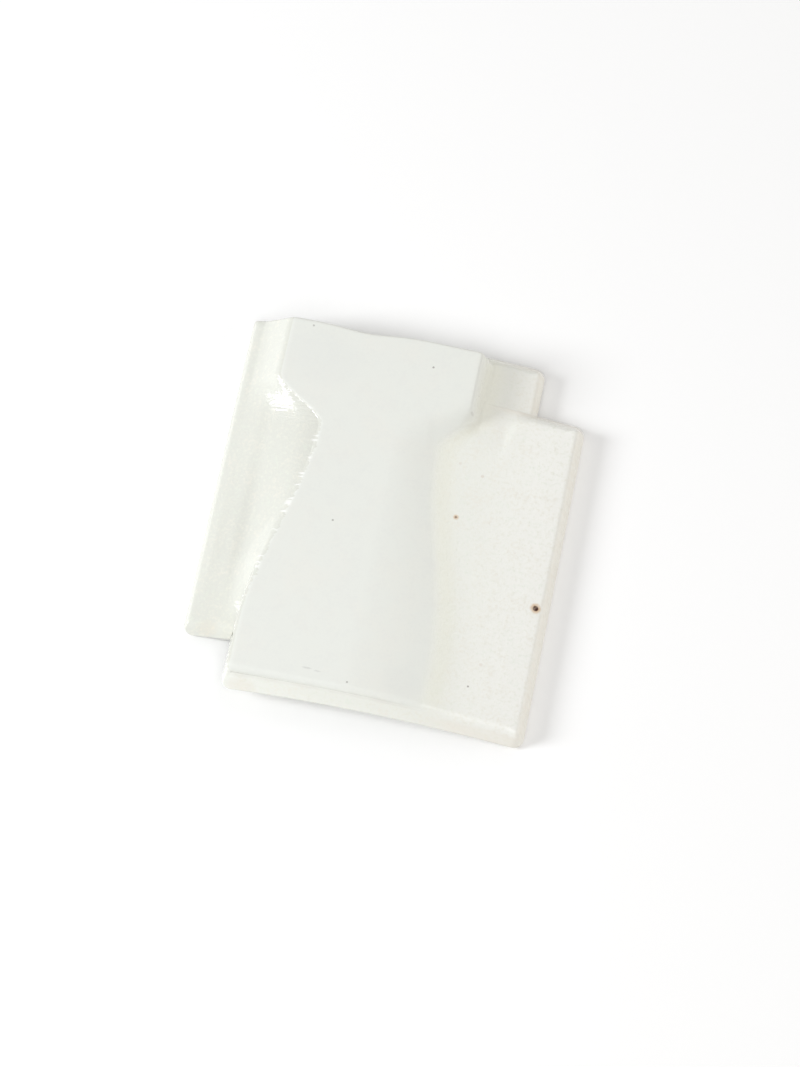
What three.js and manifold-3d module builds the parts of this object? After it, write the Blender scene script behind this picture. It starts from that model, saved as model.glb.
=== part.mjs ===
// A porcelain chopstick rest: two bent clay sheets, one laid over the other, under a waisted foot band.
// Millimetres. It lies with its foot side up, on its two side edges: +X is right, +Y is the rear and z = 0
// is the table. The sticks lie in the hollow on the other side, along Y.

import * as THREE from 'three';
import { mergeVertices } from 'three/addons/utils/BufferGeometryUtils.js';
import { TessellateModifier } from 'three/addons/modifiers/TessellateModifier.js';
import Module from 'manifold-3d';

// Sheets: both have the same outline
const sheetWidth = 39;
const sheetLength = 45;
const sheetCorner = 1.4; // corner radius in plan
const sharpestCorner = 0.2; // least radius that is left where the edges have drawn in
const shiftRight = 6.5; // how far the back sheet lies to the right of the front sheet
const shiftForward = 6.9; // and how far to the front of it
const frontThickness = 1.8;
const backThickness = 1.3; // of the back sheet where it lies on the front sheet
const servingStep = 0.9; // depth of the back sheet's serving face behind the front sheet's
const sheetEdge = 0.5; // size of the rounding along the edges
const edgeLean = 0.65; // how far the edges draw in towards the foot side, for each millimetre of height
const leftLean = 0.25; // and the left edges, which are steeper
const fullestEdge = 0.45; // largest share of a sheet's thickness that the rounding may take
const edgeCover = 1.1; // how far the back sheet's left edge lies outside the flat face at the waist

// Bend: the crown of the hollow runs along Y, over the middle of the front sheet
const hollowDepth = 2.2;

// Joints
const slipJoint = 0.3; // thickness of the clay slip between two pieces

// Foot band: lengths along it are from its rear end, and half widths are of its flat face
const bandThickness = 0.5; // over the crown of the back sheet
const blockHalfWidth = 12.9; // of the straight rear end
const blockShift = 1.4; // how far the block lies to the left of the crown
const blockLength = 8.2;
const wallLength = 5.5; // of the block's steep right side
const wallFade = 6.5; // length over which it turns into the soft roll
const waistHalfWidth = 7.7;
const waistFromRear = 14.5;
const bandInset = 0.1; // from the sheets' upper faces, at its two ends and at its front left corner
const bandCorner = 1; // corner radius in plan
const bandEdge = 0.9; // radius of its rounded edges
const crestRounding = 0.15; // share of the left flank's width that is rounded into the flat face
const blockToe = 1; // foot of the left flank beside the block, from the left edge
const waistToe = 2.5; // and beside the waist
const toeTurn = 7; // length over which the foot of the flank closes in, up to the front sheet's front edge
const waistRoll = 5; // width over which its right side rolls off at the waist
const frontRoll = 10; // and at the front
const brinkThickness = 0.4; // least thickness of the band along its thin edges

// Fineness of the surfaces
const cornerSteps = 4;
const edgeSteps = 3;
const facet = 6; // longest edge of a facet on a bent sheet
const bandStations = 44;
const stationCrowding = 0.9; // how much the cross-sections crowd towards the band's ends
const crestSteps = 5;
const rollSteps = 8;

// Derived places
const overallWidth = sheetWidth + shiftRight;
const overallLength = sheetLength + shiftForward;
const leftEdge = -overallWidth / 2;
const rearEdge = overallLength / 2;
const crownX = leftEdge + sheetWidth / 2;
const frontSheetFront = rearEdge - sheetLength;
const backSheetLeft = leftEdge + shiftRight;
const backSheetRear = rearEdge - shiftForward;
const rightEdge = -leftEdge;
const frontEdge = -rearEdge;
const backSheetTop = frontThickness + slipJoint + backThickness;
const roundedEdge = Math.min(sheetEdge, fullestEdge * Math.min(frontThickness, backSheetTop - servingStep));
const waistDraw = crownX - waistHalfWidth - edgeCover - backSheetLeft;
const frontRise = frontThickness - roundedEdge; // height over which the front sheet's edges lean
const backRise = backSheetTop - servingStep - roundedEdge;
const bandRear = rearEdge - edgeLean * frontRise - bandInset;
const bandLength = bandRear - (frontEdge + edgeLean * backRise + bandInset);
const toeEnd = bandRear - (frontSheetFront + edgeLean * frontRise);
const frontHalfWidth = crownX - backSheetLeft - leftLean * backRise - bandInset;
const footHeight = hollowDepth + backSheetTop + slipJoint + bandThickness;
const blankBottom = -footHeight; // underside of the foot band before it is cut to its seats
const seatBottom = 2 * blankBottom;

const wasm = await Module();
wasm.setup();

// Solids and geometries

function solidFrom(geometry) {
  const bare = geometry.clone();
  bare.deleteAttribute('normal');
  bare.deleteAttribute('uv');
  const merged = mergeVertices(bare, 1e-5);
  const vertProperties = merged.attributes.position.array;
  const triVerts = new Uint32Array(merged.index.array);
  return new wasm.Manifold(new wasm.Mesh({ numProp: 3, vertProperties, triVerts }));
}

function geometryFrom(solid) {
  const mesh = solid.getMesh();
  const geometry = new THREE.BufferGeometry();
  geometry.setAttribute('position', new THREE.BufferAttribute(new Float32Array(mesh.vertProperties), 3));
  geometry.setIndex(new THREE.BufferAttribute(new Uint32Array(mesh.triVerts), 1));
  return geometry;
}

function named(name, geometry, material) {
  geometry.computeVertexNormals();
  const mesh = new THREE.Mesh(geometry, material);
  mesh.name = name;
  return mesh;
}

// Height of the front sheet's serving face: an arch from the crown to the two edges that touch the table
function arch(x) {
  const away = x - crownX;
  const reach = (away < 0 ? crownX - leftEdge : rightEdge - crownX) - roundedEdge;
  const drop = away < 0 ? hollowDepth : hollowDepth + servingStep;
  return hollowDepth - drop * (away / reach) ** 2;
}

// A skin through sections, each a loop of as many points in counterclockwise order, closed at both ends
function loft(sections, place) {
  const count = sections[0].length;
  const positions = [];
  const index = [];
  sections.forEach((section, s) => {
    section.forEach((point) => positions.push(...place(point, s)));
  });
  for (let s = 0; s + 1 < sections.length; s += 1) {
    for (let i = 0; i < count; i += 1) {
      const a = s * count + i;
      const b = s * count + ((i + 1) % count);
      index.push(a, b, a + count, b, b + count, a + count);
    }
  }
  const last = (sections.length - 1) * count;
  for (const [a, b, c] of THREE.ShapeUtils.triangulateShape(sections[0], [])) {
    index.push(c, b, a);
  }
  for (const [a, b, c] of THREE.ShapeUtils.triangulateShape(sections[sections.length - 1], [])) {
    index.push(last + a, last + b, last + c);
  }
  const geometry = new THREE.BufferGeometry();
  geometry.setAttribute('position', new THREE.Float32BufferAttribute(positions, 3));
  geometry.setIndex(index);
  return solidFrom(geometry);
}

// The points round an outline, each only once
function loop(outline) {
  const points = outline.getPoints(cornerSteps);
  return points.filter((point, i) => point.distanceTo(points.at(i - 1)) > 1e-6);
}

// A flat sheet of an outline, from a low to a high level, with rounded edges that lean in above a base level
function sheet(outline, base, low, high) {
  const edge = roundedEdge;
  const profile = new THREE.Path()
    .moveTo(edge, low)
    .quadraticCurveTo(0, low, 0, low + edge)
    .lineTo(0, base + edge)
    .lineTo(0, high - edge)
    .quadraticCurveTo(0, high, edge, high)
    .getPoints(edgeSteps);
  const rise = (level) => Math.max(0, level - base - edge);
  const loops = profile.map((point) => loop(outline(-point.x, rise(point.y))));
  return loft(loops, (point, s) => [point.x, point.y, profile[s].y]);
}

// A flat solid split into small facets and bent over the arch
function bent(solid) {
  const splits = 12;
  const geometry = mergeVertices(new TessellateModifier(facet, splits).modify(geometryFrom(solid)), 1e-5);
  const position = geometry.attributes.position;
  for (let i = 0; i < position.count; i += 1) {
    position.setZ(i, position.getZ(i) + arch(position.getX(i)));
  }
  return geometry;
}

function cornerRadius(grown) {
  return Math.max(sheetCorner + grown, sharpestCorner);
}

// The front sheet's outline, grown all round by a clearance, and drawn in by the lean of its edges at a rise
function frontOutline(clearance, rise) {
  const grown = clearance - edgeLean * rise;
  const left = leftEdge - clearance + leftLean * rise;
  const right = leftEdge + sheetWidth + grown;
  const rear = rearEdge + grown;
  const front = frontSheetFront - grown;
  const r = cornerRadius(grown);
  return new THREE.Shape()
    .moveTo(left + r, front)
    .lineTo(right - r, front)
    .absarc(right - r, front + r, r, -Math.PI / 2, 0)
    .lineTo(right, rear - r)
    .absarc(right - r, rear - r, r, 0, Math.PI / 2)
    .lineTo(left + r, rear)
    .absarc(left + r, rear - r, r, Math.PI / 2, Math.PI)
    .lineTo(left, front + r)
    .absarc(left + r, front + r, r, Math.PI, 1.5 * Math.PI);
}

// The back sheet's outline, with its left edge drawn in under the foot band
function backOutline(clearance, rise) {
  const grown = clearance - edgeLean * rise;
  const left = backSheetLeft - clearance + leftLean * rise;
  const right = rightEdge + grown;
  const rear = backSheetRear + grown;
  const front = frontEdge - grown;
  const r = cornerRadius(grown);
  const waistY = bandRear - waistFromRear;
  return new THREE.Shape()
    .moveTo(left + r, front)
    .lineTo(right - r, front)
    .absarc(right - r, front + r, r, -Math.PI / 2, 0)
    .lineTo(right, rear - r)
    .absarc(right - r, rear - r, r, 0, Math.PI / 2)
    .lineTo(left, rear)
    .quadraticCurveTo(left + 2 * waistDraw, waistY, left, frontSheetFront)
    .lineTo(left, front + r)
    .absarc(left + r, front + r, r, Math.PI, 1.5 * Math.PI);
}

const glazed = { color: 0xefefe6, roughness: 0.25, metalness: 0 };
const bare = { color: 0xe9eae6, roughness: 0.6, metalness: 0 };

// Front sheet: one plain sheet

function frontSheet() {
  const flat = sheet(frontOutline, 0, 0, frontThickness);
  return named('front_sheet', bent(flat), new THREE.MeshStandardMaterial(glazed));
}

// The space that the front sheet takes up, with the slip joint round it and everything below
function frontSeat() {
  const outline = (clearance, rise) => frontOutline(slipJoint + clearance, rise);
  return sheet(outline, 0, seatBottom, frontThickness + slipJoint);
}

// Back sheet: thin where it lies on the front sheet, and thicker past that sheet's right and front edges

function backSheet() {
  const flat = sheet(backOutline, servingStep, servingStep, backSheetTop).subtract(frontSeat());
  return named('back_sheet', bent(flat), new THREE.MeshStandardMaterial(glazed));
}

function backSeat() {
  const outline = (clearance, rise) => backOutline(slipJoint + clearance, rise);
  return sheet(outline, servingStep, seatBottom, backSheetTop + slipJoint);
}

// Foot band: a loft of cross-sections from its rear end to its front end, cut to lie on both sheets

const smoothstep = THREE.MathUtils.smoothstep;
const lerp = THREE.MathUtils.lerp;

// How far a rounded corner or edge of radius r draws back, at a distance from its end
function roundOff(distance, r) {
  const inside = THREE.MathUtils.clamp(r - distance, 0, r);
  return r - Math.sqrt(r * r - inside * inside);
}

// The band's main lines at a distance from its rear end
function bandAt(along) {
  const nearestEnd = Math.min(along, bandLength - along);
  const corner = roundOff(nearestEnd, bandCorner);
  const intoWaist = smoothstep(along, blockLength, waistFromRear);
  const outOfWaist = smoothstep(along, waistFromRear, toeEnd);
  const blockEnd = lerp(blockHalfWidth, waistHalfWidth, intoWaist);
  const halfWidth = lerp(blockEnd, frontHalfWidth, outOfWaist);
  const middle = crownX - blockShift * (1 - intoWaist);
  const crest = middle - halfWidth;
  const toe = leftEdge + lerp(blockToe, waistToe, intoWaist);
  const soft = smoothstep(along, wallLength, wallLength + wallFade);
  return {
    toe: lerp(toe, crest, smoothstep(along, toeEnd - toeTurn, toeEnd)) + corner,
    crest: crest + corner,
    right: middle + halfWidth - corner * (1 - soft),
    roll: soft * lerp(waistRoll, frontRoll, outOfWaist),
    soft,
    drop: roundOff(nearestEnd, bandEdge),
  };
}

// The band's cross-section there, as x and z pairs, always with the same number of points
function bandSection(along) {
  const { toe, crest, roll, right, soft, drop } = bandAt(along);
  const top = footHeight - drop;
  const toeTop = Math.min(arch(toe) + frontThickness + slipJoint + brinkThickness, top - bandEdge);
  const rightTop = lerp(top - bandEdge, arch(right) + backSheetTop + slipJoint + brinkThickness - drop, soft);
  const footLevel = arch(right) + frontThickness; // where the steep right side meets the front sheet
  const rightFoot = right + (1 - soft) * edgeLean * Math.max(0, rightTop - footLevel);
  const crestEnd = new THREE.Vector2(crest, top).lerp(new THREE.Vector2(toe, toeTop), crestRounding);
  const rollRound = new THREE.QuadraticBezierCurve(
    new THREE.Vector2(right, rightTop),
    new THREE.Vector2(right - roll / 2, top),
    new THREE.Vector2(right - bandEdge - roll, top),
  );
  const crestRound = new THREE.QuadraticBezierCurve(
    new THREE.Vector2(crest + bandEdge, top),
    new THREE.Vector2(crest, top),
    crestEnd,
  );
  return [
    new THREE.Vector2(toe, blankBottom),
    new THREE.Vector2(rightFoot, blankBottom),
    new THREE.Vector2(rightFoot, footLevel),
    ...rollRound.getPoints(rollSteps),
    ...crestRound.getPoints(crestSteps),
    new THREE.Vector2(toe, toeTop),
  ];
}

// Distances of the cross-sections from the rear end: close together at the rounded ends
function bandStationPlaces() {
  const places = [];
  for (let i = 0; i <= bandStations; i += 1) {
    const even = i / bandStations;
    const eased = (1 - Math.cos(Math.PI * even)) / 2;
    places.push(bandLength * lerp(even, eased, stationCrowding));
  }
  return places;
}

function footBand() {
  const places = bandStationPlaces();
  const whole = loft(places.map(bandSection), (point, s) => [point.x, bandRear - places[s], point.y]);
  const seated = whole.subtract(solidFrom(bent(frontSeat()))).subtract(solidFrom(bent(backSeat())));
  return named('foot_band', geometryFrom(seated), new THREE.MeshStandardMaterial(bare));
}

const chopstickRest = new THREE.Group();
chopstickRest.add(frontSheet(), backSheet(), footBand());

export default chopstickRest;
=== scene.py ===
# The looks of a porcelain chopstick rest: two bent clay sheets under a waisted foot band, fired as one.
# The shapes are worked out in millimetres in the frame of the CAD model, and turned into metres at the end.

import math

import bpy
import numpy as np
from mathutils import Matrix, Vector


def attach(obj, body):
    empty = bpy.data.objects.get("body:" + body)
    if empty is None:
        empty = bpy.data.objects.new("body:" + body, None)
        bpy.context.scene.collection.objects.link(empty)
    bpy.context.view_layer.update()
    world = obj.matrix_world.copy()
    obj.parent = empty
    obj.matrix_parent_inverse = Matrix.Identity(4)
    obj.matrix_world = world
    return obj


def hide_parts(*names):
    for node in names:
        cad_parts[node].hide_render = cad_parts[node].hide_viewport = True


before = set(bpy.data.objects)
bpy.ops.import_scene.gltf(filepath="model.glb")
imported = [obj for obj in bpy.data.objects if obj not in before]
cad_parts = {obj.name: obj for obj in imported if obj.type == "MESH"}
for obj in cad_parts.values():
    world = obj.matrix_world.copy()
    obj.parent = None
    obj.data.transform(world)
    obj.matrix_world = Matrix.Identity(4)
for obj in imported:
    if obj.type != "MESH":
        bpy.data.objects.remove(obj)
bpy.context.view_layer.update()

MM = 0.001

# Sizes of the clay pieces

SHEET_WIDTH = 39.0
SHEET_LENGTH = 45.0
SHEET_CORNER = 1.4
SHIFT_RIGHT = 6.5
SHIFT_FORWARD = 6.9
FRONT_THICKNESS = 1.8
BACK_TOP = 3.4  # upper face of the back sheet over the front sheet's serving face
SERVING_STEP = 0.9
SHEET_EDGE = 0.5
EDGE_LEAN = 0.65  # how far the front and rear edges draw in, for each millimetre of height
LEFT_LEAN = 0.25
RIGHT_LEAN = 0.3
MITRE = 0.7  # from a corner's diagonal to where only one of its two edges shapes the wall
HOLLOW_DEPTH = 2.2
FOOT_HEIGHT = 6.4

BLOCK_HALF_WIDTH = 12.9
BLOCK_SHIFT = 1.4
BLOCK_LENGTH = 8.2
WALL_LENGTH = 6.5
WALL_FADE = 5.0
WALL_LEAN = 0.35  # of the block's right wall
WALL_SHIFT = 0.2
WAIST_HALF_WIDTH = 7.7
WAIST_FROM_REAR = 14.5
FRONT_HALF_WIDTH = 12.4
BAND_INSET = 0.1
BAND_CORNER = 0.6
BAND_EDGE = 0.9
REAR_EDGE = 0.45  # rounding of the block's rear end
FLANK_TOE = 1.6  # foot of the left flank, from the left edge
TOE_TURN = 9.0  # length over which the flank falls to the front sheet's front left corner
TOE_REST = 0.5  # from where it has fallen to the front sheet's front edge
SWELL_LENGTH = 6.0  # length past the block over which the flank starts to swell
FLANK_SWELL = 0.4  # added to the power of the flank's curve beside the waist
FLANK_HOLLOW = 2.8  # power of its curve at the front
WAIST_ROLL = 5.0
FRONT_ROLL = 10.0
DRAWN_IN = 4.2  # of the back sheet's left edge, under the foot band

# Marks of the hand

REAR_DENT = 0.45  # how far the block's rear end is drawn in or out
DENT_PLACE = -7.2  # middle of a dent in it
DENT_REACH = 4.0
RIGHT_DENT = (-1.0, 8.0)  # where it starts to draw in towards the right, and where it has
RIGHT_SHARE = 0.5  # how far it draws in there, as a share of the dent
LEFT_DENT = (-20.5, -17.0)  # and from the left edge
DENT_LENGTH = 5.0  # length of the band that the dents have moved
VALLEY_LEAN = 3.0  # of the back sheet's rear edge where it is smeared on to the front sheet
VALLEY_FOOT = 0.3  # from that edge to the foot of the smeared slope
VALLEY_ALONG = (4.0, 10.0)  # y where the smearing starts, and where it is full
VALLEY_LEFT = (0.0, 4.0)  # x where it starts, and where it is full
VALLEY_RIGHT = (12.5, 16.5)  # x up to where it is full, and where it has ended

# Soft edges, as differences of height over which two surfaces run into each other

EDGE_ROUND = 1.4
CREST_ROUND = 0.7
WALL_ROUND = 0.9
VALLEY_ROUND = 1.6
SLIP_ROUND = 1.1  # of the joints
TOE_ROUND = 2.4  # of the joint along the left edge
TAB_ROUND = 0.3  # of the joint at the front left corner
END_ROUND = 1.2  # of the joint at the front end
TOE_JOINT = (-19.0, -17.0)  # x up to where the joint is the left edge's, and where it no longer is
TAB_JOINT = (-12.0, -9.0)  # the same for the joint at the front left corner
END_JOINT = (0.2, 2.5)  # the same for the front end, as distances from it
STEEP = 8.0  # steepest slope of the foot band's left side
WALL_FOOT = 0.5  # from the crest to the foot of that steepest slope
DIP = 0.5  # how fast the foot band's hidden borders dip, per millimetre
SINKING = 0.05  # how fast a piece sinks beyond the line where it meets another
SINKING_GROWTH = 5.0  # how much faster, for each millimetre below
SUNK = 0.2  # depth to which a piece reaches into the piece that it is joined to

# Fineness of the meshes, and what the meshes tell the material

LATTICE_STEP = 0.35
EDGE_MARGIN = 2.4  # width along the edges where the lattice is finer
EDGE_POINTS = 14
FLANK_MARGIN = 0.3  # the same for the foot band's flank and face, as shares of their widths
FLANK_STEP = 0.05
FACE_MARGIN = 0.1
FACE_STEP = 0.015
WALL_POINTS = 6
LEAST_THICKNESS = 0.02  # of a mesh at its border
LEAST_TOP = 0.1  # least depth of a mesh's lower side under the foot face
PAST_TOE = 1.0  # how far the foot band reaches past its flank's toe, under the slip
PAST_RIGHT = 2.2  # and past its right side
FLANK_LEFT = 0.05  # width of the flank where it has closed in
PULL_END = 0.1  # from where it has closed in to the end of the toe
BARE_INSET = 0.3  # from the crest to the glaze line
UNDERSIDE = -50.0  # distance to the bare face that marks the serving side
FAR_INSIDE = 5.0  # distance to the sheets' edges that marks the foot band

# Derived places

OVERALL_WIDTH = SHEET_WIDTH + SHIFT_RIGHT
OVERALL_LENGTH = SHEET_LENGTH + SHIFT_FORWARD
LEFT = -OVERALL_WIDTH / 2
RIGHT = OVERALL_WIDTH / 2
REAR = OVERALL_LENGTH / 2
FRONT = -OVERALL_LENGTH / 2
CROWN_X = LEFT + SHEET_WIDTH / 2

# Each sheet's outline as left, right, front and rear
FRONT_CARD = (LEFT, LEFT + SHEET_WIDTH, REAR - SHEET_LENGTH, REAR)
BACK_CARD = (LEFT + SHIFT_RIGHT, RIGHT, FRONT, REAR - SHIFT_FORWARD)
FRONT_LEAN = EDGE_LEAN * (FRONT_THICKNESS - SHEET_EDGE)
BACK_LEAN = EDGE_LEAN * (BACK_TOP - SERVING_STEP - SHEET_EDGE)
BAND_REAR = REAR - FRONT_LEAN - BAND_INSET
BAND_FRONT = FRONT + BACK_LEAN + BAND_INSET
BAND_LENGTH = BAND_REAR - BAND_FRONT
TOE_END = BAND_REAR - FRONT_CARD[2] - FRONT_LEAN


# Forms


def smoothstep(value, start, end):
    t = np.clip((value - start) / (end - start), 0, 1)
    return t * t * (3 - 2 * t)


def lerp(a, b, t):
    return a + (b - a) * t


def round_off(distance, radius):
    """How far a rounded edge draws back, at a distance inside it."""
    inside = np.clip(radius - distance, 0, radius)
    return radius - np.sqrt(radius**2 - inside**2)


def soft_min(a, b, width):
    blend = np.maximum(width - np.abs(a - b), 0)
    return np.minimum(a, b) - blend**2 / (4 * width)


def arch(x):
    """Height of the front sheet's serving face."""
    away = x - CROWN_X
    reach = np.where(away < 0, CROWN_X - LEFT, RIGHT - CROWN_X) - SHEET_EDGE
    drop = np.where(away < 0, HOLLOW_DEPTH, HOLLOW_DEPTH + SERVING_STEP)
    return HOLLOW_DEPTH - drop * (away / reach) ** 2


def inside_card(x, y, card):
    """Distance inside a card with round corners, negative outside it."""
    left, right, front, rear = card
    across = np.abs(x - (left + right) / 2) - (right - left) / 2 + SHEET_CORNER
    along = np.abs(y - (front + rear) / 2) - (rear - front) / 2 + SHEET_CORNER
    outside = np.hypot(np.maximum(across, 0), np.maximum(along, 0))
    return SHEET_CORNER - outside - np.minimum(np.maximum(across, along), 0)


def leaning_wall(x, y, card, left_line):
    """Height of a sheet's leaning edges over the widest part of their rounding."""
    left, right, front, rear = card
    inside = inside_card(x, y, (left - SHEET_WIDTH, right, front, rear))
    nearer_right = np.minimum(y - front, rear - y) - (right - x)
    lean = lerp(EDGE_LEAN, RIGHT_LEAN, smoothstep(nearer_right, -MITRE, MITRE))
    return np.minimum(inside / lean, (x - left_line) / LEFT_LEAN)


def drawn_left(y):
    """The back sheet's left edge, drawn in under the foot band."""
    along = np.clip((BACK_CARD[3] - y) / (BACK_CARD[3] - FRONT_CARD[2]), 0, 1)
    return BACK_CARD[0] + DRAWN_IN * 4 * along * (1 - along)


def rear_dent(x):
    """How far the foot band's rear end is drawn in: it is drawn out beside the block's left side."""
    dents = np.exp(-(((x - DENT_PLACE) / DENT_REACH) ** 2)) + RIGHT_SHARE * smoothstep(x, *RIGHT_DENT)
    return REAR_DENT * (dents + smoothstep(x, *LEFT_DENT) - 1)


def band_lines(x, y):
    """The foot band's lines along its length, and how far its sides have changed their form."""
    from_rear = BAND_REAR - y
    nearest_end = np.minimum(from_rear - rear_dent(x), BAND_LENGTH - from_rear)
    corner = round_off(nearest_end, BAND_CORNER)
    into_waist = smoothstep(from_rear, BLOCK_LENGTH, WAIST_FROM_REAR)
    out_of_waist = smoothstep(from_rear, WAIST_FROM_REAR, TOE_END)
    half_width = lerp(lerp(BLOCK_HALF_WIDTH, WAIST_HALF_WIDTH, into_waist), FRONT_HALF_WIDTH, out_of_waist)
    middle = CROWN_X - BLOCK_SHIFT * (1 - into_waist)
    crest = middle - half_width
    closed = TOE_END - TOE_REST
    soft = smoothstep(from_rear, WALL_LENGTH, WALL_LENGTH + WALL_FADE)
    return {
        "toe": LEFT + FLANK_TOE + corner,
        "swell": 1 + FLANK_SWELL * smoothstep(from_rear, BLOCK_LENGTH, BLOCK_LENGTH + SWELL_LENGTH),
        "hollowing": smoothstep(from_rear, WAIST_FROM_REAR, closed - TOE_TURN),
        "crest": crest + corner,
        "right": middle + half_width - corner * (1 - soft),
        "roll": soft * lerp(WAIST_ROLL, FRONT_ROLL, out_of_waist),
        "soft": soft,
        "closing": np.clip((from_rear - closed + TOE_TURN) / TOE_TURN, 0, 1),
        "nearest_end": nearest_end,
    }


def front_height(x, y):
    wall = SHEET_EDGE + leaning_wall(x, y, FRONT_CARD, LEFT)
    return arch(x) + soft_min(FRONT_THICKNESS + 0 * x, wall, EDGE_ROUND)


def beside_block(x, y):
    """1 where the back sheet's rear edge is smeared on to the front sheet, to the right of the block."""
    across = smoothstep(x, *VALLEY_LEFT) * (1 - smoothstep(x, *VALLEY_RIGHT))
    return across * smoothstep(y, *VALLEY_ALONG)


def back_height(x, y):
    wall = SERVING_STEP + SHEET_EDGE + leaning_wall(x, y, BACK_CARD, drawn_left(y))
    smeared = FRONT_THICKNESS + (BACK_CARD[3] - y - VALLEY_FOOT) / VALLEY_LEAN
    beside = beside_block(x, y)
    wall = lerp(wall, np.minimum(wall, smeared), beside)
    return arch(x) + soft_min(BACK_TOP + 0 * x, wall, lerp(EDGE_ROUND, VALLEY_ROUND, beside))


def flank_height(x, y):
    """Height of the left flank: plain beside the block, swelling beside the waist and hollow at the front."""
    lines = band_lines(x, y)
    toe_height = arch(lines["toe"]) + FRONT_THICKNESS
    outside = np.maximum(0, lines["crest"] - x) / (lines["crest"] - lines["toe"])
    swelling = FOOT_HEIGHT - (FOOT_HEIGHT - toe_height) * outside ** lines["swell"]
    past_toe = np.maximum(0, lines["toe"] - x)
    swelling = np.where(past_toe > 0, toe_height - DIP * past_toe, swelling)
    ground = arch(x) + FRONT_THICKNESS - 2 * SUNK
    hollow = ground + (FOOT_HEIGHT - ground) * np.clip(1 - outside, 0, 1) ** FLANK_HOLLOW - DIP * past_toe
    return lerp(swelling, hollow, lines["hollowing"])


def band_height(x, y):
    lines = band_lines(x, y)
    step = FOOT_HEIGHT - STEEP * (lines["crest"] - x)
    fallen = np.maximum(step, front_height(x, y) - 2 * SUNK)
    flank = lerp(flank_height(x, y), fallen, lines["closing"])
    flank = np.where(x < lines["crest"], flank, FOOT_HEIGHT + x - lines["crest"])
    height = soft_min(flank, FOOT_HEIGHT + 0 * x, CREST_ROUND)
    past_right = x - lines["right"]
    fall = FOOT_HEIGHT - (arch(lines["right"]) + BACK_TOP)
    rolled = fall * np.maximum(0, 1 + past_right / (lines["roll"] + BAND_EDGE)) ** 2
    wall = FOOT_HEIGHT - BAND_EDGE - (past_right - WALL_SHIFT) / WALL_LEAN
    walled = FOOT_HEIGHT - soft_min(FOOT_HEIGHT + 0 * x, wall, WALL_ROUND)
    end_edge = np.where(y > 0, REAR_EDGE, BAND_EDGE)
    ends = round_off(lines["nearest_end"], end_edge) + STEEP * np.maximum(0, -lines["nearest_end"])
    return height - lerp(walled, rolled, lines["soft"]) - ends


def slip_width(x, y):
    """Width of the smoothed joints: wide at the left, small at the front end and the front left corner."""
    tab = band_lines(x, y)["closing"] * (1 - smoothstep(x, *TAB_JOINT))
    smoothed = lerp(lerp(TOE_ROUND, SLIP_ROUND, smoothstep(x, *TOE_JOINT)), TAB_ROUND, tab)
    return lerp(END_ROUND, smoothed, smoothstep(y - BAND_FRONT, *END_JOINT))


def joined(own, others, x, y):
    """A piece's height with the slip smoothed into the corner where it meets the others."""
    width = slip_width(x, y)
    above = own - others
    lift = np.clip(width - above, 0, 2 * width) ** 2 / (4 * width)
    below = np.maximum(0, -above)
    return own + lift - np.minimum(SINKING * below * (1 + SINKING_GROWTH * below), SUNK)


# Meshes


def spread(length, margin, fine, step):
    """Places along a length, from 0, that lie close together at both ends."""
    turn = np.linspace(0, math.pi / 2, fine + 1)
    near = margin * (1 - np.cos(turn))
    middle = np.linspace(margin, length - margin, max(2, round((length - 2 * margin) / step)) + 1)
    return np.concatenate([near[:-1], middle, length - near[-2::-1]])


def shell(name, x, y, top, bottom, values):
    """A closed mesh of two lattices, one over the other, with a wall round their border."""
    rows, columns = x.shape
    bottom = np.clip(bottom, 0, FOOT_HEIGHT - LEAST_TOP)
    top = np.clip(top, bottom + LEAST_THICKNESS, FOOT_HEIGHT)
    upper = np.stack([x, y, top], axis=-1).reshape(-1, 3)
    lower = np.stack([x, y, bottom], axis=-1).reshape(-1, 3)
    number = np.arange(rows * columns).reshape(rows, columns)
    a, b, c, d = number[:-1, :-1], number[:-1, 1:], number[1:, 1:], number[1:, :-1]
    up = np.stack([d, c, b, a], axis=-1).reshape(-1, 4)
    down = np.stack([a, b, c, d], axis=-1).reshape(-1, 4) + rows * columns
    border = np.concatenate([number[0, :-1], number[:-1, -1], number[-1, :0:-1], number[:0:-1, 0]])
    after = np.roll(border, -1)
    wall = np.stack([border, after, after + rows * columns, border + rows * columns], axis=-1)
    mesh = bpy.data.meshes.new(name)
    points = np.concatenate([upper, lower]) * MM
    faces = np.concatenate([up, down, wall])
    mesh.from_pydata(points.tolist(), [], faces.tolist())
    for key, (above, below) in values.items():
        layer = mesh.attributes.new(key, "FLOAT", "POINT")
        both = np.concatenate([above.ravel(), below.ravel()])
        layer.data.foreach_set("value", both.astype(np.float32))
    mesh.shade_smooth()
    mesh.validate()
    piece = bpy.data.objects.new(name, mesh)
    bpy.context.collection.objects.link(piece)
    return piece


def card_lattice(card):
    """Rows and columns of points that fill a card with round corners."""
    left, right, front, rear = card
    down = spread(rear - front, EDGE_MARGIN, EDGE_POINTS, LATTICE_STEP)
    corner = round_off(np.minimum(down, down[-1] - down), SHEET_CORNER)
    y = rear - down
    width = right - left
    across = spread(1, EDGE_MARGIN / width, EDGE_POINTS, LATTICE_STEP / width)
    x = lerp((left + corner)[:, None], (right - corner)[:, None], across[None, :])
    return x, np.repeat(y[:, None], len(across), axis=1)


def under_edge(inside):
    """Height of the rounding along a sheet's edge on the serving side."""
    return SHEET_EDGE * (1 - np.sqrt(np.clip(inside / SHEET_EDGE, 0, 1))) ** 2


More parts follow.
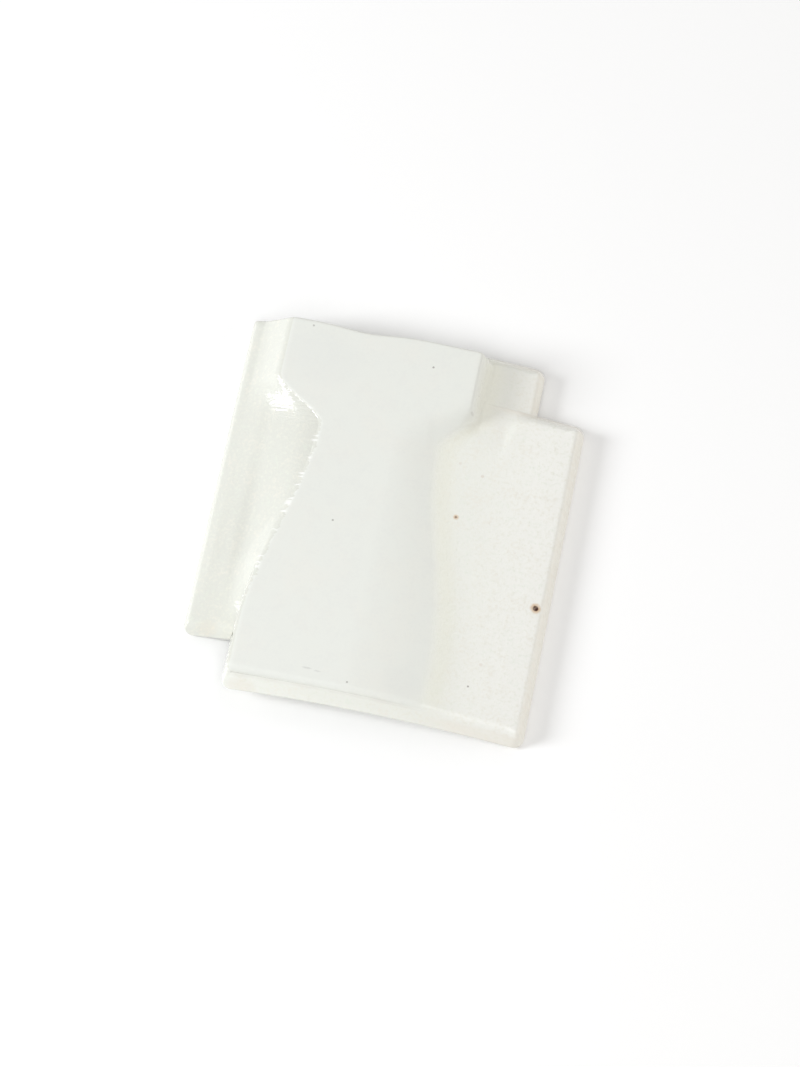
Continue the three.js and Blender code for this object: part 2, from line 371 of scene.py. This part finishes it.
def bare_distance(x, y):
    """Distance inside the bare foot face, negative on the glaze."""
    lines = band_lines(x, y)
    inside_crest = x - lines["crest"] - BARE_INSET
    return np.minimum(np.minimum(inside_crest, lines["right"] - x), 3 * (y - BAND_FRONT))


def values_at(x, y, edge):
    """What the material needs at each point: on the serving side there is glaze everywhere."""
    glazed = np.full_like(x, UNDERSIDE)
    return {"bare": (bare_distance(x, y), glazed), "edge": (edge, edge)}


def front_sheet():
    x, y = card_lattice(FRONT_CARD)
    inside = inside_card(x, y, FRONT_CARD)
    others = np.maximum(back_height(x, y), band_height(x, y))
    top = joined(front_height(x, y), others, x, y)
    bottom = arch(x) + under_edge(inside)
    return shell("front_sheet_clay", x, y, top, bottom, values_at(x, y, inside))


def back_sheet():
    x, y = card_lattice(BACK_CARD)
    inside = inside_card(x, y, BACK_CARD)
    others = np.maximum(front_height(x, y), band_height(x, y))
    top = joined(back_height(x, y), others, x, y)
    bottom = np.maximum(arch(x) + SERVING_STEP + under_edge(inside), front_height(x, y) - SUNK)
    return shell("back_sheet_clay", x, y, top, bottom, values_at(x, y, inside))


def foot_band():
    down = spread(BAND_LENGTH, EDGE_MARGIN, EDGE_POINTS, LATTICE_STEP)
    rows = BAND_REAR - down
    lines = band_lines(CROWN_X + 0 * rows, rows)
    pulled_in = smoothstep(down, TOE_END - TOE_REST, TOE_END - PULL_END)
    crest = lines["crest"][:, None]
    under_wall = crest - WALL_FOOT
    left_side = lerp(lines["toe"][:, None] - PAST_TOE, under_wall - FLANK_LEFT, pulled_in[:, None])
    right_side = lines["right"][:, None] + PAST_RIGHT
    flank = lerp(left_side, under_wall, spread(1, FLANK_MARGIN, EDGE_POINTS, FLANK_STEP)[None, :-1])
    wall = lerp(under_wall, crest, np.linspace(0, 1, WALL_POINTS)[None, :-1])
    face = lerp(crest, right_side, spread(1, FACE_MARGIN, EDGE_POINTS, FACE_STEP)[None, :])
    x = np.concatenate([flank, wall, face], axis=1)
    y = np.repeat(rows[:, None], x.shape[1], axis=1)
    y = y - rear_dent(x) * (1 - smoothstep(BAND_REAR - y, 0, DENT_LENGTH))
    lines = band_lines(x, y)
    past_toe = np.maximum(0, lines["toe"] - x)
    past_right = np.maximum(0, x - lines["right"]) * lines["soft"]
    sheets = np.maximum(front_height(x, y), back_height(x, y))
    tucked = band_height(x, y) - DIP * (past_toe**2 + past_right**2)
    top = np.maximum(joined(tucked, sheets, x, y), sheets - SUNK)
    bottom = np.minimum(sheets, top) - SUNK
    edge = np.full_like(x, FAR_INSIDE)
    return shell("foot_band_clay", x, y, top, bottom, values_at(x, y, edge))


# Shader expressions


class Wire:
    """A shader socket that can be used in Python expressions."""

    def __init__(self, tree, socket):
        self.tree = tree
        self.socket = socket

    def maths(self, operation, first, second):
        return node(self.tree, "ShaderNodeMath", {"operation": operation}, {0: first, 1: second})

    def __add__(self, other):
        return self.maths("ADD", self, other)

    def __radd__(self, other):
        return self.maths("ADD", other, self)

    def __sub__(self, other):
        return self.maths("SUBTRACT", self, other)

    def __rsub__(self, other):
        return self.maths("SUBTRACT", other, self)

    def __mul__(self, other):
        return self.maths("MULTIPLY", self, other)

    def __rmul__(self, other):
        return self.maths("MULTIPLY", other, self)

    def __truediv__(self, other):
        return self.maths("DIVIDE", self, other)

    def step(self, start, end):
        """0 up to start and 1 from end on, with a smooth rise between."""
        settings = {"interpolation_type": "SMOOTHSTEP"}
        return node(self.tree, "ShaderNodeMapRange", settings, {0: self, 1: start, 2: end})

    def stripe(self, middle, half_width):
        """1 at the middle of a stripe and 0 outside it."""
        return self.step(middle - half_width, middle) * (1 - self.step(middle, middle + half_width))


def node(tree, kind, settings, sockets, output=0):
    """Adds a node, sets it, feeds its sockets with values or wires, and returns one of its outputs."""
    made = tree.nodes.new(kind)
    for key, value in settings.items():
        setattr(made, key, value)
    for key, value in sockets.items():
        if isinstance(value, Wire):
            tree.links.new(value.socket, made.inputs[key])
        else:
            made.inputs[key].default_value = value
    return Wire(tree, made.outputs[output]) if made.outputs else None


def colour_mix(tree, share, first, second):
    return node(tree, "ShaderNodeMix", {"data_type": "RGBA"}, {0: share, 6: first, 7: second}, 2)


def stretched(tree, place, scale):
    return node(tree, "ShaderNodeVectorMath", {"operation": "MULTIPLY"}, {0: place, 1: scale})


def noise(tree, place, scale, detail):
    """Noise around 0, with a pattern that repeats about as often in each millimetre as the scale says."""
    return node(tree, "ShaderNodeTexNoise", {}, {"Vector": place, "Scale": scale, "Detail": detail}) - 0.5


def attribute(tree, name):
    return node(tree, "ShaderNodeAttribute", {"attribute_name": name}, {}, "Fac")


def spot(x, y, middle, reach, core):
    """1 in the core of an ellipse and 0 outside it."""
    across = (x - middle[0]) / reach[0]
    along = (y - middle[1]) / reach[1]
    return 1 - (across * across + along * along).step(core, 1)


def linear(red, green, blue):
    """A colour given by its screen values from 0 to 255."""
    shares = [channel / 255 for channel in (red, green, blue)]
    return [s / 12.92 if s <= 0.04045 else ((s + 0.055) / 1.055) ** 2.4 for s in shares] + [1]


# Colours of the fired clay and the glaze

BARE = linear(236, 238, 232)
BARE_DARKER = linear(230, 232, 228)
BARE_WARM = linear(238, 238, 231)
GLAZE = linear(241, 242, 235)
GLAZE_RIGHT_LIT = linear(250, 250, 245)  # painted light: paler towards the right edge, where the wing turns towards the light from the right
GLAZE_LEFT_SHADED = linear(226, 227, 219)  # painted shade: darker on the left flank, which turns towards the key lamp
GLAZE_YELLOW = linear(239, 239, 224)
GLAZE_PINK = linear(240, 232, 228)
GLAZE_GREEN = linear(229, 238, 226)
# Painted shade, darker and warmer, on the right walls that face away from the key lamp
WALL_SHADE = linear(242, 238, 228)
BEAD_HIGHLIGHT = linear(252, 252, 249)  # painted highlight where the thick rim of the glaze catches the light
VALLEY_SHADE = linear(226, 219, 207)  # painted shade in the valley beside the block, where the block shades it
RUST = linear(214, 176, 132)
IRON = linear(62, 24, 12)
PALE_IRON = linear(176, 120, 74)
GREY_MARK = linear(196, 196, 192)
# Painted shade in the crease at the foot band's front end
GROOVE_SHADE = linear(222, 220, 212)

# Iron specks and marks: place, reach across and along, sharpness from 0 to 1, strength and colour
SPECKS = (
    ((21.04, -7.69), (0.85, 0.85), 0.1, 0.75, RUST),
    ((21.04, -7.69), (0.42, 0.42), 0.4, 0.95, IRON),
    ((8.81, 1.83), (0.45, 0.45), 0.1, 0.6, RUST),
    ((8.81, 1.83), (0.2, 0.2), 0.2, 0.6, IRON),
    ((2.05, 21.27), (0.18, 0.18), 0.2, 0.5, IRON),
    ((-6.45, -2.25), (0.18, 0.18), 0.2, 0.4, IRON),
    ((-14.4, 24.1), (0.18, 0.18), 0.2, 0.35, IRON),
    ((14.65, -20.21), (0.17, 0.17), 0.2, 0.5, IRON),
    ((-0.26, -23.44), (0.17, 0.17), 0.2, 0.4, IRON),
    ((8.16, 16.2), (0.3, 0.3), 0.0, 0.15, IRON),
    ((11.07, 8.18), (0.3, 0.3), 0.1, 0.16, PALE_IRON),
    ((7.98, 9.25), (0.3, 0.3), 0.1, 0.1, PALE_IRON),
    ((15.71, -16.96), (0.3, 0.3), 0.1, 0.14, PALE_IRON),
    ((-5.6, -22.55), (0.8, 0.16), 0.1, 0.4, GREY_MARK),
    ((-4.2, -22.72), (0.6, 0.12), 0.1, 0.35, GREY_MARK),
    ((-19.62, -18.14), (1.8, 1.2), 0.0, 0.08, RUST),
    ((-13.53, -25.73), (2.4, 1.2), 0.0, 0.1, RUST),
)

# Places on the foot side, in millimetres: middle and reach of a spot, or start and end of a change
# Darker spots on the bare face: one near its front end, and painted shade on the block's left part
DARKER_PATCHES = (((6.46, -21.72), (3.2, 2.6)), ((-12.0, 19.5), (6.0, 5.0)))
VALLEY_SHADE_SPOT = ((11.5, 19.0), (6.0, 7.0))
STREAKED_SPOT = ((-14.3, 13.6), (4.5, 3.2))  # brush marks beside the block's left side
LEFT_GLAZE = (-6.0, -2.0)
RIGHT_LIT_GLAZE = (8.0, 21.0)
RIGHT_WALLS = (8.0, 15.0)
WALL_WIDTH = (0.5, 1.3)
BRUSHED_FROM = (-16.0, -13.0)
BRUSHED_TO = (12.0, 16.0)
FRONT_WALL = (BAND_FRONT, BAND_FRONT + 1.5)
GROOVE_FROM = (-16.5, -15.5)
GROOVE_TO = (6.5, 9.5)
GROOVE_HALF_WIDTH = 0.22


class Surface:
    """Wires with the place on the clay and the patterns that several finishes share."""

    def __init__(self, tree):
        self.tree = tree
        place = node(tree, "ShaderNodeTexCoord", {}, {}, "Object")
        self.place = node(tree, "ShaderNodeVectorMath", {"operation": "SCALE"}, {0: place, "Scale": 1 / MM})
        self.x = node(tree, "ShaderNodeSeparateXYZ", {}, {0: self.place}, "X")
        self.y = node(tree, "ShaderNodeSeparateXYZ", {}, {0: self.place}, "Y")
        self.into_bare = attribute(tree, "bare")
        self.into_sheet = attribute(tree, "edge")
        self.foot_side = self.into_bare.step(UNDERSIDE + 5, UNDERSIDE + 10)
        self.on_left = 1 - self.x.step(*LEFT_GLAZE)
        self.broad = noise(tree, self.place, 0.16, 2.0)
        self.patches = noise(tree, self.place, 0.5, 2.0)
        self.grain = noise(tree, self.place, 2.4, 2.0)
        self.strokes = noise(tree, stretched(tree, self.place, (0.35, 2.0, 0.35)), 1.0, 2.0)
        self.brushed = self.y.step(*BRUSHED_FROM) * (1 - self.y.step(*BRUSHED_TO))

    def spot(self, middle, reach, core):
        return spot(self.x, self.y, middle, reach, core)

    def mix(self, share, first, second):
        return colour_mix(self.tree, share, first, second)


def bare_share(clay):
    """1 on bare clay and 0 on glaze: the line between is ragged on the left and soft on the right."""
    ragged = clay.into_bare + (clay.strokes * 1.3 + clay.patches * 0.8) * clay.brushed
    ragged = ragged.step(-0.1, 0.15)
    soft = (clay.into_bare + clay.patches * 1.6).step(-1.0, 0.8)
    return soft + clay.on_left * (ragged - soft)


def glaze_colour(clay):
    """Glaze with fine patches of other hues and yellow along the soft line, with painted light towards the
    right edge and painted shade on the left flank, on the right walls and in the valley beside the block.
    """
    behind_front = clay.y.step(*FRONT_WALL)
    # Painted light: the glaze gets paler towards the right edge
    glaze = clay.mix(clay.x.step(*RIGHT_LIT_GLAZE), GLAZE, GLAZE_RIGHT_LIT)
    # Painted shade on the left flank
    glaze = clay.mix(clay.on_left * behind_front, glaze, GLAZE_LEFT_SHADED)
    glaze = clay.mix((clay.patches * 0.5 + clay.grain).step(-0.1, 0.4) * 0.5, glaze, GLAZE_YELLOW)
    glaze = clay.mix((clay.patches * 0.6 + clay.grain).step(0.0, 0.4) * 0.3, glaze, GLAZE_PINK)
    glaze = clay.mix((clay.grain - clay.patches * 0.6).step(0.0, 0.4) * 0.3, glaze, GLAZE_GREEN)
    beside = clay.foot_side * (1 - clay.on_left) * behind_front
    glaze = clay.mix(clay.into_bare.stripe(-1.6, 2.2) * beside * 0.45, glaze, GLAZE_YELLOW)
    # Painted shade on the right walls
    wall_shade = (1 - clay.into_sheet.step(*WALL_WIDTH)) * clay.x.step(*RIGHT_WALLS)
    glaze = clay.mix(wall_shade * (0.75 + clay.strokes), glaze, WALL_SHADE)
    # Painted shade in the valley beside the block
    return clay.mix(clay.spot(*VALLEY_SHADE_SPOT, 0.2) * clay.foot_side * 0.1, glaze, VALLEY_SHADE)


def bare_colour(clay):
    """Bare clay with faint patches and darker spots, one of them painted shade on the block's left part."""
    bare = clay.mix((clay.broad + clay.patches * 0.5).step(-0.1, 0.25) * 0.6, BARE, BARE_WARM)
    bare = clay.mix((clay.grain + clay.patches).step(-0.1, 0.3) * 0.3, bare, BARE_DARKER)
    # Darker spots, the one on the block's left part painted shade
    for middle, reach in DARKER_PATCHES:
        bare = clay.mix(clay.spot(middle, reach, 0.0) * 0.3, bare, BARE_DARKER)
    return bare


def marked_colour(clay, colour):
    """A colour with painted highlights on the beads along the glaze line, painted shade in the groove at the
    band's front end, and the specks.
    """
    # Painted highlights on the beads along the ragged glaze line
    bead_highlights = clay.into_bare.stripe(-0.3, 0.7) * clay.strokes.step(0.08, 0.16) * clay.brushed * clay.on_left
    colour = clay.mix(bead_highlights * 0.9, colour, BEAD_HIGHLIGHT)
    # Painted shade in the groove at the band's front end
    groove_shade = clay.y.stripe(BAND_FRONT - BAND_INSET, GROOVE_HALF_WIDTH)
    groove_shade = groove_shade * (1 - clay.x.step(*GROOVE_TO)) * clay.x.step(*GROOVE_FROM)
    colour = clay.mix(groove_shade * clay.foot_side * (0.3 + clay.patches), colour, GROOVE_SHADE)
    for middle, reach, core, strength, hue in SPECKS:
        share = clay.spot(middle, reach, core) * clay.foot_side * strength
        colour = clay.mix(share * (1 + clay.grain), colour, hue)
    return colour


def relief(clay, bare):
    """Height in millimetres of the pebbled, streaked glaze and of the smoother clay."""
    near_line = clay.into_bare.stripe(-0.8, 1.4) * clay.on_left * 0.05
    streaks = clay.strokes * (near_line + clay.spot(*STREAKED_SPOT, 0.2) * 0.14)
    pimples = noise(clay.tree, clay.place, 5.0, 0.0).step(0.1, 0.3) * 0.008
    pebbles = clay.grain * 0.03 + pimples + clay.patches * 0.03
    return (pebbles + streaks) * (1 - bare) + clay.grain * bare * 0.004


def fired_porcelain():
    """Glossy glaze and dull bare clay."""
    material = bpy.data.materials.new("fired_porcelain")
    material.use_nodes = True
    tree = material.node_tree
    tree.nodes.clear()
    clay = Surface(tree)
    bare = bare_share(clay)
    colour = marked_colour(clay, clay.mix(bare, glaze_colour(clay), bare_colour(clay)))
    roughness = 0.15 + clay.grain * 0.1 + bare * 0.4
    bump_sockets = {"Strength": 1.0, "Distance": MM, "Height": relief(clay, bare)}
    bump = node(tree, "ShaderNodeBump", {}, bump_sockets)
    sockets = {"Base Color": colour, "Roughness": roughness, "Normal": bump}
    shader = node(tree, "ShaderNodeBsdfPrincipled", {}, sockets)
    node(tree, "ShaderNodeOutputMaterial", {}, {"Surface": shader})
    return material


# Pieces

porcelain = fired_porcelain()
for make, cad_node, slot in (
    (front_sheet, "front_sheet", "glazed_porcelain"),
    (back_sheet, "back_sheet", "glazed_porcelain"),
    (foot_band, "foot_band", "bare_porcelain"),
):
    piece = make()
    piece.data.materials.append(porcelain)
    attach(piece, "root")
    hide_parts(cad_node)


# Stage, light and camera

FLOOR_SEEN = (1.02, 1.02, 1.02, 1)  # white in the picture up to close beside the object
FLOOR_LIGHT = (0.9, 0.9, 0.88, 1)
PLAIN_RAYS = ("Is Camera Ray", "Is Glossy Ray", "Is Transmission Ray")


def white_floor():
    material = bpy.data.materials.new("white_floor")
    material.use_nodes = True
    tree = material.node_tree
    tree.nodes.clear()
    seen = sum(node(tree, "ShaderNodeLightPath", {}, {}, ray) for ray in PLAIN_RAYS)
    colour = colour_mix(tree, seen, FLOOR_LIGHT, FLOOR_SEEN)
    cloth = node(tree, "ShaderNodeBsdfDiffuse", {}, {"Color": colour})
    node(tree, "ShaderNodeOutputMaterial", {}, {"Surface": cloth})
    return material


FLOOR_HALF_WIDTH = 0.6


def make_floor():
    half = FLOOR_HALF_WIDTH
    mesh = bpy.data.meshes.new("floor")
    corners = [(-half, -half, 0), (half, -half, 0), (half, half, 0), (-half, half, 0)]
    mesh.from_pydata(corners, [], [(0, 1, 2, 3)])
    mesh.materials.append(white_floor())
    floor = bpy.data.objects.new("floor", mesh)
    bpy.context.collection.objects.link(floor)


def aimed(place, target):
    """A matrix at a place that looks at a target."""
    looking = (Vector(target) - Vector(place)).to_track_quat("-Z", "Y")
    return Matrix.LocRotScale(Vector(place), looking, None)


LAMP_DISTANCE = 0.5

# Each lamp's name, direction, size in metres, power in watts and colour
LAMPS = (
    ("key", (-0.84, -0.225, 0.465), 0.2, 1.68, (0.97, 0.99, 1.02)),
    ("front", (0, -0.5, 0.86), 0.45, 0.64, (1, 1, 1)),
    ("right", (0.94, -0.05, 0.32), 0.4, 0.7, (1, 0.98, 0.95)),
    ("back", (0.25, 0.5, 0.83), 0.2, 0.1, (1, 1, 1)),
    ("rear", (0.1, 0.85, 0.5), 0.3, 0.28, (1, 1, 1)),
)
SKY_COLOUR = (1.0, 0.985, 0.96, 1)
SKY_STRENGTH = 0.35


def make_lamp(name, direction, size, power, colour):
    lamp = bpy.data.lights.new(name, "AREA")
    lamp.shape = "DISK"
    lamp.size = size
    lamp.energy = power
    lamp.color = colour
    holder = bpy.data.objects.new(name, lamp)
    holder.matrix_world = aimed(Vector(direction).normalized() * LAMP_DISTANCE, (0, 0, 0))
    bpy.context.collection.objects.link(holder)


def make_sky():
    sky = bpy.data.worlds.new("studio")
    sky.use_nodes = True
    background = sky.node_tree.nodes["Background"]
    background.inputs["Color"].default_value = SKY_COLOUR
    background.inputs["Strength"].default_value = SKY_STRENGTH
    bpy.context.scene.world = sky


CAMERA_TURN = math.radians(11.3)
CAMERA_RISE = math.radians(68.0)
PICTURE_WIDTH = 102.6 * MM  # width of the view at the object
AIM = Vector((2.15, -1.43, 4.0)) * MM
LENS = 180.0
SENSOR = 36.0


def make_camera():
    lens = bpy.data.cameras.new("camera")
    lens.sensor_fit = "HORIZONTAL"
    lens.sensor_width = SENSOR
    lens.lens = LENS
    back = Vector(
        (
            math.sin(CAMERA_TURN) * math.cos(CAMERA_RISE),
            -math.cos(CAMERA_TURN) * math.cos(CAMERA_RISE),
            math.sin(CAMERA_RISE),
        )
    )
    camera = bpy.data.objects.new("camera", lens)
    camera.matrix_world = aimed(AIM + back * PICTURE_WIDTH * LENS / SENSOR, AIM)
    bpy.context.collection.objects.link(camera)
    bpy.context.scene.camera = camera


make_floor()
make_camera()
for lamp in LAMPS:
    make_lamp(*lamp)
make_sky()
bpy.context.scene.view_settings.view_transform = "Standard"
